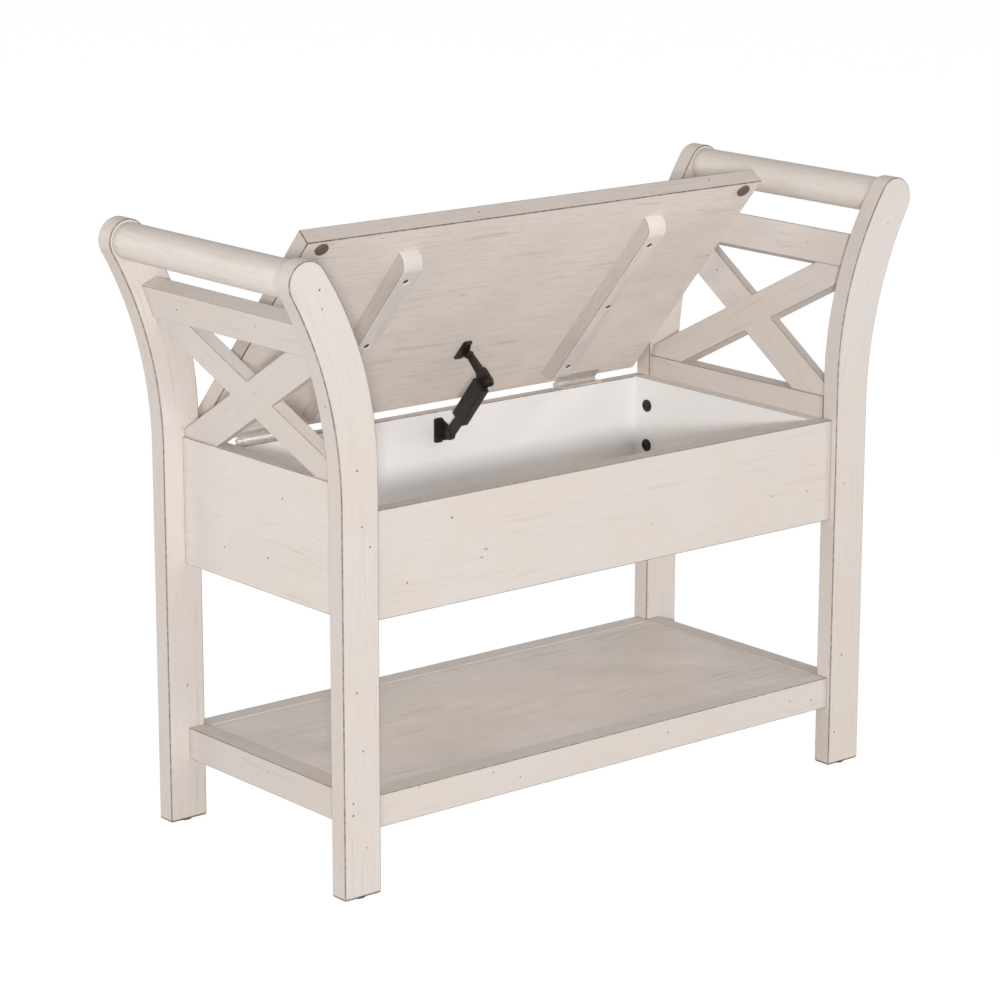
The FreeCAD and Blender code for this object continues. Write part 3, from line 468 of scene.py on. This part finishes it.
def leg_finish(node, wash):
    """Paint for a curved leg, with the grain following the curve."""
    finish = Finish(node + "_paint")
    place = finish.place()
    x, y, z = finish.split(place)
    rise = (z - LEG_CURVE_START).at_least(0.0)
    bend = LEG_CURVE_RADIUS - (LEG_CURVE_RADIUS ** 2 - rise * rise) ** 0.5
    local = finish.joined(z, abs(x) - bend, y)
    facing = finish.facing()
    parts = finish.split(facing)
    front = abs(parts[Y])
    arris = front.ease(*LEG_EDGE_START) * (1 - front.ease(*LEG_EDGE_END))
    # A dark band at the foot: glaze on the eased bottom edge and a painted contact shadow.
    foot = 1 - z.ease(*FOOT_REACH)
    arris = arris.at_least(foot * FOOT_SHARE)
    give(node, paint_over(finish, wash, place, local, facing, arris))


def rail_finish(node, wash):
    """Paint for a round rail, with the grain along it. It has no edges for glaze to lie on."""
    finish = Finish(node + "_paint")
    place = finish.place()
    x, y, z = finish.split(place)
    give(node, paint_over(finish, wash, place, finish.joined(y, x, z), finish.facing(), 0.0))


def shaded_top(share):
    """Painted shade: a piece's top faces are mixed towards the grey-brown rim colour, by the given
    share.
    """
    def paint_top_shade(finish, colour, axes, facing, hair):
        paint = bpy.context.scene.bench_paint
        return finish.mix(colour, solid(paint.rim), facing[Z].ease(*UPWARD) * share)
    return paint_top_shade


def metal_finish(name, colour, metallic, rough, speck, speck_scale):
    """Plated or painted metal with fine mottling and slightly rubbed spots."""
    finish = Finish(name)
    place = finish.place()
    mottle = finish.noise(place, scale=speck_scale, detail=4.0)
    fine = finish.noise(place, scale=speck_scale * 9, detail=1.0)
    rubbed = finish.mix(solid(colour), solid([min(1.0, c * 1.9 + 0.015) for c in colour]),
                        mottle.ease(0.52, 0.80) * speck)
    return finish.surface(Base_Color=rubbed, Metallic=metallic,
                          Roughness=mottle * 0.22 + (rough - 0.11),
                          Normal=finish.bump(fine, 0.18, 0.0001))


def brushed_finish(name, colour):
    """Brushed nickel: fine lines along the hinge and a few dull spots."""
    finish = Finish(name)
    place = finish.place()
    lines = finish.noise(finish.vector("MULTIPLY", place, (160.0, 4200.0, 4200.0)), detail=2.0)
    dull = finish.noise(place, scale=220.0, detail=3.0).ease(0.5, 0.75)
    shade = finish.mix(solid(colour), solid([c * 0.55 for c in colour]), dull * 0.5)
    return finish.surface(Base_Color=shade, Metallic=1.0, Roughness=lines * 0.16 + 0.24,
                          Normal=finish.bump(lines, 0.12, 0.00005))


def soft_finish(name, colour, rough):
    """Rubber or plastic with a fine matt grain."""
    finish = Finish(name)
    place = finish.place()
    speck = finish.noise(place, scale=900.0, detail=2.0)
    cloud = finish.noise(place, scale=260.0, detail=2.0).ease(0.4, 0.7)
    shade = finish.mix(solid(colour), solid([c * 1.5 for c in colour]), cloud * 0.5)
    return finish.surface(Base_Color=shade, Roughness=speck * 0.12 + rough,
                          Normal=finish.bump(speck, 0.25, 0.0001))


class BENCH_OT_studio(bpy.types.Operator):
    """Sets the camera, the lamps and the pale floor"""

    bl_idname = "bench.studio"
    bl_label = "Studio"

    def execute(self, context):
        studio = context.scene.bench_studio
        context.scene.view_settings.view_transform = "Standard"
        self.camera(context, studio)
        for name, place, size, power in LAMPS:
            self.softbox(context, name, place, size, getattr(studio, power))
        self.room(context, studio)
        self.floor(context, studio)
        return {"FINISHED"}

    def camera(self, context, studio):
        lens = bpy.data.cameras.new("photo_camera")
        lens.lens = studio.lens
        lens.sensor_width = SENSOR_WIDTH
        lens.clip_end = SIGHT_END
        camera = bpy.data.objects.new("photo_camera", lens)
        level, drop = math.cos(studio.pitch), math.sin(studio.pitch)
        look = Vector((math.sin(studio.heading) * level, math.cos(studio.heading) * level, -drop))
        turn = look.to_track_quat("-Z", "Y").to_matrix() @ Matrix.Rotation(studio.roll, 3, "Z")
        camera.matrix_world = Matrix.Translation(studio.place) @ turn.to_4x4()
        context.scene.collection.objects.link(camera)
        context.scene.camera = camera

    def softbox(self, context, name, place, size, power):
        lamp = bpy.data.lights.new(name, "AREA")
        lamp.shape = "SQUARE"
        lamp.size = size
        lamp.energy = power
        box = bpy.data.objects.new(name, lamp)
        turn = (LAMP_AIM - Vector(place)).to_track_quat("-Z", "Y").to_matrix().to_4x4()
        box.matrix_world = Matrix.Translation(place) @ turn
        context.scene.collection.objects.link(box)

    def room(self, context, studio):
        world = bpy.data.worlds.new("white_room")
        world.use_nodes = True
        tree = world.node_tree
        tree.nodes.clear()
        rays = tree.nodes.new("ShaderNodeLightPath")
        even = tree.nodes.new("ShaderNodeBackground")
        even.inputs["Strength"].default_value = studio.room_light
        even.inputs["Color"].default_value = solid(ROOM_TINT)
        white = tree.nodes.new("ShaderNodeBackground")
        white.inputs["Strength"].default_value = 1.0
        seen = tree.nodes.new("ShaderNodeMath")
        seen.operation = "MAXIMUM"
        tree.links.new(rays.outputs["Is Camera Ray"], seen.inputs[0])
        tree.links.new(rays.outputs["Is Glossy Ray"], seen.inputs[1])
        pick = tree.nodes.new("ShaderNodeMixShader")
        out = tree.nodes.new("ShaderNodeOutputWorld")
        tree.links.new(seen.outputs[0], pick.inputs[0])
        tree.links.new(even.outputs[0], pick.inputs[1])
        tree.links.new(white.outputs[0], pick.inputs[2])
        tree.links.new(pick.outputs[0], out.inputs["Surface"])
        context.scene.world = world

    def floor(self, context, studio):
        corners = [(x * FLOOR_REACH, y * FLOOR_REACH, FLOOR_Z)
                   for x, y in ((-1, -1), (1, -1), (1, 1), (-1, 1))]
        mesh = bpy.data.meshes.new("studio_floor")
        mesh.from_pydata(corners, [], [(0, 1, 2, 3)])
        ground = bpy.data.objects.new("studio_floor", mesh)
        finish = Finish("floor_white")
        seen = finish.node("ShaderNodeLightPath", output="Is Camera Ray")
        lit = finish.node("ShaderNodeBsdfDiffuse", None, {"Color": solid(FLOOR_TINT)})
        white = finish.node("ShaderNodeEmission", None, {"Color": solid(WHITE),
                                                         "Strength": FLOOR_GLOW})
        shown = finish.node("ShaderNodeMixShader", None,
                            {0: seen * studio.floor_white, 1: lit, 2: white})
        finish.node("ShaderNodeOutputMaterial", None, {"Surface": shown}, output=None)
        mesh.materials.append(finish.material)
        context.scene.collection.objects.link(ground)


class BENCH_OT_ends(bpy.types.Operator):
    """Paints the legs, hand rails, upper rails, X braces and side panels"""

    bl_idname = "bench.ends"
    bl_label = "Ends"

    def execute(self, context):
        paint = context.scene.bench_paint
        for index, side in enumerate(SIDES):
            for place, row in enumerate(("front", "rear")):
                # The legs' narrow side faces get painted shade.
                leg_finish("leg_%s_%s" % (row, side), Wash(
                    paint.cream, paint.blush, streak=0.20, hair=0.24, edge=1.1,
                    seed=3.1 * index + place, extra=self.shaded_side))
            rail_finish("hand_rail_" + side, Wash(
                paint.cream, paint.blush, seed=11.0 + index, joints=LEG_FACES))
            # The upper rails are darkened as a whole and on their top faces: painted shade.
            board_finish("upper_rail_" + side, Wash(
                paint.cream, paint.blush, streak=0.24, hair=0.24, edge=0.7, seed=13.0 + index,
                joints=LEG_FACES, shade=0.10, extra=shaded_top(0.03)))
            # The braces are darkened as a whole: painted shade.
            for step, bar in enumerate(("rising", "falling")):
                board_finish("brace_%s_%s" % (bar, side), Wash(
                    paint.cream, paint.blush, streak=0.24, hair=0.24, edge=0.8,
                    seed=17.0 + 2 * index + step, joints=LEG_FACES, shade=0.14))
            # The side panel gets painted shade on its top faces and a darker strip above the box
            # rim.
            board_finish("side_panel_" + side, Wash(
                paint.blush, paint.cream, streak=0.26, hair=0.22, edge=0.9, seed=23.0 + index,
                joints=LEG_FACES, extra=self.strip_and_shaded_top))
        return {"FINISHED"}

    @staticmethod
    def shaded_side(finish, colour, axes, facing, hair):
        """Painted shade: the legs' narrow side faces are mixed a little towards the grey-brown rim
        colour.
        """
        paint = bpy.context.scene.bench_paint
        return finish.mix(colour, solid(paint.rim), abs(facing[X]).ease(0.6, 0.9) * 0.26)

    @staticmethod
    def strip_and_shaded_top(finish, colour, axes, facing, hair):
        """Darkens the strip of the inner face above the box rim towards the grey-brown rim colour,
        and puts painted shade on the panel's top faces the same way.
        """
        paint = bpy.context.scene.bench_paint
        above = axes[Z].ease(RIM_Z - 0.001, RIM_Z + 0.001)
        inward = 1 - abs(axes[X]).ease(PANEL_INNER_X + 0.0004, PANEL_INNER_X + 0.0012)
        top = facing[Z].ease(*UPWARD)
        return finish.mix(colour, solid(paint.rim), (above * inward).at_least(top) * 0.20)


class BENCH_OT_box(bpy.types.Operator):
    """Paints the box: cream outside, white inside, with painted shade along the rim"""

    bl_idname = "bench.box"
    bl_label = "Box"

    def execute(self, context):
        paint = context.scene.bench_paint
        # The box's front, back and sides get painted shade on their top faces along the rim.
        board_finish("box_front", Wash(
            paint.cream, paint.blush, streak=0.16, hair=0.18, seed=31.0, joints=BOX_ENDS,
            extra=self.inside_of(1)))
        board_finish("box_back", Wash(
            paint.cream, paint.blush, streak=0.20, hair=0.18, seed=33.0, joints=BOX_ENDS,
            extra=self.inside_of(-1)))
        for index, side in enumerate(SIDES):
            board_finish("box_side_" + side, Wash(
                paint.inside, paint.inside, streak=0.03, hair=0.05, edge=0.3,
                seed=35.0 + index, extra=self.shaded_rim))
        board_finish("box_bottom", Wash(
            paint.inside, paint.inside, streak=0.04, hair=0.06, edge=0.3, seed=38.0))
        return {"FINISHED"}

    @staticmethod
    def shaded_rim(finish, colour, axes, facing, hair):
        """Painted shade: the top faces near the rim are mixed towards the grey-brown rim colour."""
        paint = bpy.context.scene.bench_paint
        top = facing[Z].ease(0.70, 0.95) * axes[Z].ease(RIM_Z - 0.004, RIM_Z - 0.001)
        return finish.mix(colour, solid(paint.rim), top * (hair * 0.3 + 0.30))

    @classmethod
    def inside_of(cls, way):
        """The front or back board's white inner face, and painted shade on its rim."""
        def finish_inside(finish, colour, axes, facing, hair):
            paint = bpy.context.scene.bench_paint
            inward = (facing[Y] * way).ease(0.55, 0.85)
            colour = finish.mix(colour, solid(paint.inside), inward)
            return cls.shaded_rim(finish, colour, axes, facing, hair)
        return finish_inside


class BENCH_OT_shelf(bpy.types.Operator):
    """Paints the shelf's rails and its grey panel"""

    bl_idname = "bench.shelf"
    bl_label = "Shelf"

    def execute(self, context):
        paint = context.scene.bench_paint
        for index, row in enumerate(("front", "back")):
            # The shelf rails' top faces get painted shade.
            board_finish("shelf_rail_" + row, Wash(
                paint.cream, paint.blush, streak=0.18, hair=0.20, seed=41.0 + index,
                joints=BOX_ENDS, extra=shaded_top(0.08)))
        for index, side in enumerate(SIDES):
            # The side rails are darkened as a whole and on their top faces: painted shade.
            board_finish("shelf_rail_" + side, Wash(
                paint.blush, paint.cream, streak=0.18, hair=0.20, seed=43.0 + index,
                joints=LEG_FACES, shade=0.20, extra=shaded_top(0.08)))
        board_finish("shelf_panel", Wash(
            paint.shelf, paint.lid, streak=0.42, hair=0.38, edge=1.25, seed=47.0))
        return {"FINISHED"}


class BENCH_OT_lid(bpy.types.Operator):
    """Paints the lid and its battens with a thin, streaky wash"""

    bl_idname = "bench.lid"
    bl_label = "Lid"

    def execute(self, context):
        paint = context.scene.bench_paint
        board_finish("lid_board", Wash(
            paint.lid, [c * 0.95 for c in paint.lid], streak=0.40, hair=0.48, edge=1.25,
            seed=53.0, extra=self.dark_edges))
        for index, side in enumerate(SIDES):
            board_finish("lid_batten_" + side, Wash(
                paint.lid, paint.blush, streak=0.30, hair=0.30, seed=57.0 + index,
                extra=self.dark_sides, round_ends=True))
        give("lid_bumpers", soft_finish("bumper_pad", paint.bumper, 0.45))
        return {"FINISHED"}

    @staticmethod
    def dark_edges(finish, colour, axes, facing, hair):
        """The lid's narrow faces were wiped back further than its two broad ones."""
        paint = bpy.context.scene.bench_paint
        through = board_axes("lid_board")[0][2]
        broad = abs(facing[Y] * through.y + facing[Z] * through.z)
        narrow = 1 - broad.ease(0.35, 0.75)
        return finish.mix(colour, solid(paint.rim), narrow * 0.48)

    @staticmethod
    def dark_sides(finish, colour, axes, facing, hair):
        """The battens' long sides took the glaze and little paint."""
        paint = bpy.context.scene.bench_paint
        side = abs(facing[X]).ease(0.75, 0.95)
        return finish.mix(colour, solid(paint.grain), side * (hair * 0.25 + 0.48))


class BENCH_OT_metalwork(bpy.types.Operator):
    """Finishes the hinges, the lid stay, the bolts, the screws and the glides"""

    bl_idname = "bench.metalwork"
    bl_label = "Metalwork"

    def execute(self, context):
        paint = context.scene.bench_paint
        bronze = metal_finish("black_bronze", paint.bronze, metallic=0.35, rough=0.42,
                              speck=0.55, speck_scale=120.0)
        nickel = brushed_finish("nickel_plate", paint.nickel)
        raw = Finish("bare_wood")
        lines = raw.noise(raw.vector("MULTIPLY", raw.place(), (300.0, 300.0, 300.0)), detail=3.0)
        raw_wood = raw.surface(Base_Color=raw.mix(solid(paint.raw),
                                                  solid([c * 0.7 for c in paint.raw]), lines),
                               Roughness=0.7)
        plastic = soft_finish("glide_plastic", [c * 0.5 for c in paint.bumper], 0.5)
        finish_of = {"dark_steel": bronze, "nickel": nickel, "raw_wood": raw_wood,
                     "dark_plastic": plastic}
        for node, slot in SLOT_OF.items():
            if slot in finish_of:
                give(node, finish_of[slot])
        return {"FINISHED"}


class BENCH_OT_wear(bpy.types.Operator):
    """Cuts worm holes and scuffs into the painted wood"""

    bl_idname = "bench.wear"
    bl_label = "Worm holes"

    def execute(self, context):
        wear = context.scene.bench_wear
        dice = random.Random(MARK_SEED)
        marks = {}
        for pixels, stretch in ((PHOTO_HOLES, 1.0), (PHOTO_SCUFFS, SCUFF_STRETCH)):
            for pixel in pixels:
                self.note(context, marks, *self.sight_line(context, pixel), stretch)
        low, high = CAD_BOX
        for axis, sign in ((Y, 1), (X, 1), (X, -1), (Z, 1)):
            for _ in range(wear.hidden_holes):
                start = Vector([dice.uniform(low[i], high[i]) for i in range(3)])
                start[axis] = (high if sign > 0 else low)[axis] + sign
                aim = Vector()
                aim[axis] = -sign
                if self.hidden(context, start, aim):
                    self.note(context, marks, start, aim, 1.0)
        paint = context.scene.bench_paint
        finishes = (soft_finish("hole_glaze", [c * 1.5 for c in paint.glaze], 0.7),
                    soft_finish("scuff_glaze", [c * 1.25 for c in paint.grain], 0.7),
                    soft_finish("pocket_paint", [c * 0.9 for c in paint.lid], 0.5))
        for side in SIDES:
            marks.setdefault("lid_batten_" + side, [])
        for node in sorted(marks):
            self.cut(context, node, marks[node], finishes, dice)
        return {"FINISHED"}

    def sight_line(self, context, pixel):
        """The camera's place and its line of sight through a pixel of the photograph."""
        camera = context.scene.camera
        scale = camera.data.sensor_width / camera.data.lens / PHOTO_SIZE
        half = PHOTO_SIZE / 2
        ray = Vector(((pixel[0] - half) * scale, (half - pixel[1]) * scale, -1.0))
        return camera.matrix_world.translation, (camera.matrix_world.to_3x3() @ ray).normalized()

    def hidden(self, context, start, aim):
        """Whether what a ray meets is out of the camera's sight."""
        found, place, normal, _, _, _ = context.scene.ray_cast(
            context.view_layer.depsgraph, start, aim)
        return found and normal.dot(context.scene.camera.matrix_world.translation - place) < 0

    def note(self, context, marks, start, aim, stretch):
        """Keeps the place where a ray meets painted wood."""
        found, place, normal, _, met, _ = context.scene.ray_cast(
            context.view_layer.depsgraph, start, aim)
        if found and SLOT_OF.get(met.name, "") in ("painted_wood", "lid_wood"):
            marks.setdefault(met.name, []).append((place, normal, stretch))

    def pockets(self, node):
        """The middle of each screw pocket's mouth on a batten, and the way out of it."""
        turn, middle, half = board_axes(node)
        groups = []
        for vert in NODES["batten_screws"].data.vertices:
            at = turn @ vert.co - middle
            if abs(at.y) < half.y:
                near = next((g for g in groups if abs(g[0].x - at.x) < POCKETS_APART),
                            None)
                if near is None:
                    groups.append([at])
                else:
                    near.append(at)
        back = turn.transposed()
        way = -1 if turn[2].z > 0 else 1
        for group in groups:
            along = (min(p.x for p in group) + max(p.x for p in group)) / 2
            across = (min(p.y for p in group) + max(p.y for p in group)) / 2
            mouth = Vector((along, across, way * half.z))
            yield back @ (mouth + middle), back @ Vector((0.0, 0.0, way))

    def countersink(self, tool, place, outward, mouth):
        """Adds a pocket with a straight wall and a flared mouth to the cutter."""
        slope = (mouth - POCKET_BORE) / POCKET_FLARE
        side = outward.orthogonal().normalized()
        other = outward.cross(side)
        rings = []
        for height, radius in ((-POCKET_DEPTH, POCKET_BORE), (-POCKET_FLARE, POCKET_BORE),
                               (POCKET_OVERCUT, mouth + slope * POCKET_OVERCUT)):
            ring = []
            for step in range(POCKET_SIDES):
                angle = 2 * math.pi * step / POCKET_SIDES
                arm = side * math.cos(angle) + other * math.sin(angle)
                ring.append(tool.verts.new(place + outward * height + arm * radius))
            rings.append(ring)
        for low, high, finish in ((rings[0], rings[1], HOLE), (rings[1], rings[2], POCKET)):
            for step in range(POCKET_SIDES):
                after = (step + 1) % POCKET_SIDES
                face = tool.faces.new((low[step], low[after], high[after], high[step]))
                face.material_index = finish
        tool.faces.new(rings[0][::-1]).material_index = HOLE
        tool.faces.new(rings[2]).material_index = POCKET

    def blob(self, tool, along, mark, dice):
        """Adds a rough little ball to the cutter for a mark, longer and flatter for a scuff."""
        wear = bpy.context.scene.bench_wear
        place, normal, stretch = mark
        size = dice.uniform(*MARK_SIZES)
        run = (along - normal * along.dot(normal)).normalized()
        turn = Matrix((run, normal.cross(run), normal)).transposed()
        reach = wear.hole_radius * size
        depth = wear.hole_depth * size * (1.0 if stretch == 1.0 else SCUFF_DEPTH)
        for vert in bmesh.ops.create_icosphere(tool, subdivisions=2, radius=1.0)["verts"]:
            rough = vert.co * dice.uniform(*MARK_ROUGHNESS)
            rough = Vector((rough.x * reach * stretch, rough.y * reach, rough.z * depth))
            vert.co = place + turn @ rough + normal * depth * MARK_RISE
            for face in vert.link_faces:
                face.material_index = SCUFF if stretch > 1.0 else HOLE

    def cutter(self, context, node, marks, finishes, dice):
        """All that is cut out of one piece, as one object."""
        along = board_axes(node)[0][0]
        tool = bmesh.new()
        for mark in marks:
            self.blob(tool, along, mark, dice)
        if node.startswith("lid_batten"):
            for place, outward in self.pockets(node):
                self.countersink(tool, place, outward, context.scene.bench_wear.pocket_radius)
        mesh = bpy.data.meshes.new(node + "_holes")
        tool.to_mesh(mesh)
        tool.free()
        for finish in finishes:
            mesh.materials.append(finish)
        cutter = bpy.data.objects.new(node + "_holes", mesh)
        context.scene.collection.objects.link(cutter)
        return cutter

    def cut(self, context, node, marks, finishes, dice):
        """A copy of a piece with its holes cut, which stands for the piece."""
        cutter = self.cutter(context, node, marks, finishes, dice)
        source = NODES[node]
        body = bmesh.new()
        body.from_mesh(source.data)
        bmesh.ops.remove_doubles(body, verts=body.verts, dist=SAME_POINT)
        mesh = bpy.data.meshes.new(node + "_worn")
        body.to_mesh(mesh)
        body.free()
        for name in ("custom_normal", "sharp_edge", "sharp_face"):
            if name in mesh.attributes:
                mesh.attributes.remove(mesh.attributes[name])
        for slot in source.material_slots:
            mesh.materials.append(slot.material)
        piece = bpy.data.objects.new(node + "_worn", mesh)
        context.scene.collection.objects.link(piece)
        mesh.shade_smooth()
        mesh.set_sharp_from_angle(angle=SHARP_ANGLE)
        holes = piece.modifiers.new("holes", "BOOLEAN")
        holes.operation = "DIFFERENCE"
        holes.solver = "EXACT"
        holes.material_mode = "TRANSFER"
        holes.object = cutter
        even = piece.modifiers.new("even_shading", "WEIGHTED_NORMAL")
        even.keep_sharp = True
        even.weight = 80
        context.view_layer.update()
        depsgraph = context.evaluated_depsgraph_get()
        piece.data = bpy.data.meshes.new_from_object(piece.evaluated_get(depsgraph))
        piece.modifiers.clear()
        bpy.data.objects.remove(cutter)
        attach(piece, BODY_OF[node])
        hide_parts(node)


class BENCH_PT_panel(bpy.types.Panel):
    """The bench's steps and sizes"""

    bl_idname = "BENCH_PT_panel"
    bl_label = "Storage bench"
    bl_space_type = "VIEW_3D"
    bl_region_type = "UI"
    bl_category = "Bench"

    def draw(self, context):
        for step in STEPS:
            self.layout.operator(step.bl_idname)
        for name in ("bench_paint", "bench_wear", "bench_studio"):
            group = getattr(context.scene, name)
            for key in group.__annotations__:
                self.layout.prop(group, key)


STEPS = (BENCH_OT_studio, BENCH_OT_ends, BENCH_OT_box, BENCH_OT_shelf, BENCH_OT_lid,
         BENCH_OT_metalwork, BENCH_OT_wear)
GROUPS = {"bench_paint": BenchPaint, "bench_wear": BenchWear, "bench_studio": BenchStudio}


def register():
    for kind in (*GROUPS.values(), *STEPS, BENCH_PT_panel):
        bpy.utils.register_class(kind)
    for name, group in GROUPS.items():
        setattr(bpy.types.Scene, name, PointerProperty(type=group))


def unregister():
    for name in GROUPS:
        delattr(bpy.types.Scene, name)
    for kind in reversed((*GROUPS.values(), *STEPS, BENCH_PT_panel)):
        bpy.utils.unregister_class(kind)


def main():
    register()
    bpy.ops.bench.studio()
    bpy.ops.bench.ends()
    bpy.ops.bench.box()
    bpy.ops.bench.shelf()
    bpy.ops.bench.lid()
    bpy.ops.bench.metalwork()
    bpy.ops.bench.wear()


if __name__ == "__main__":
    main()
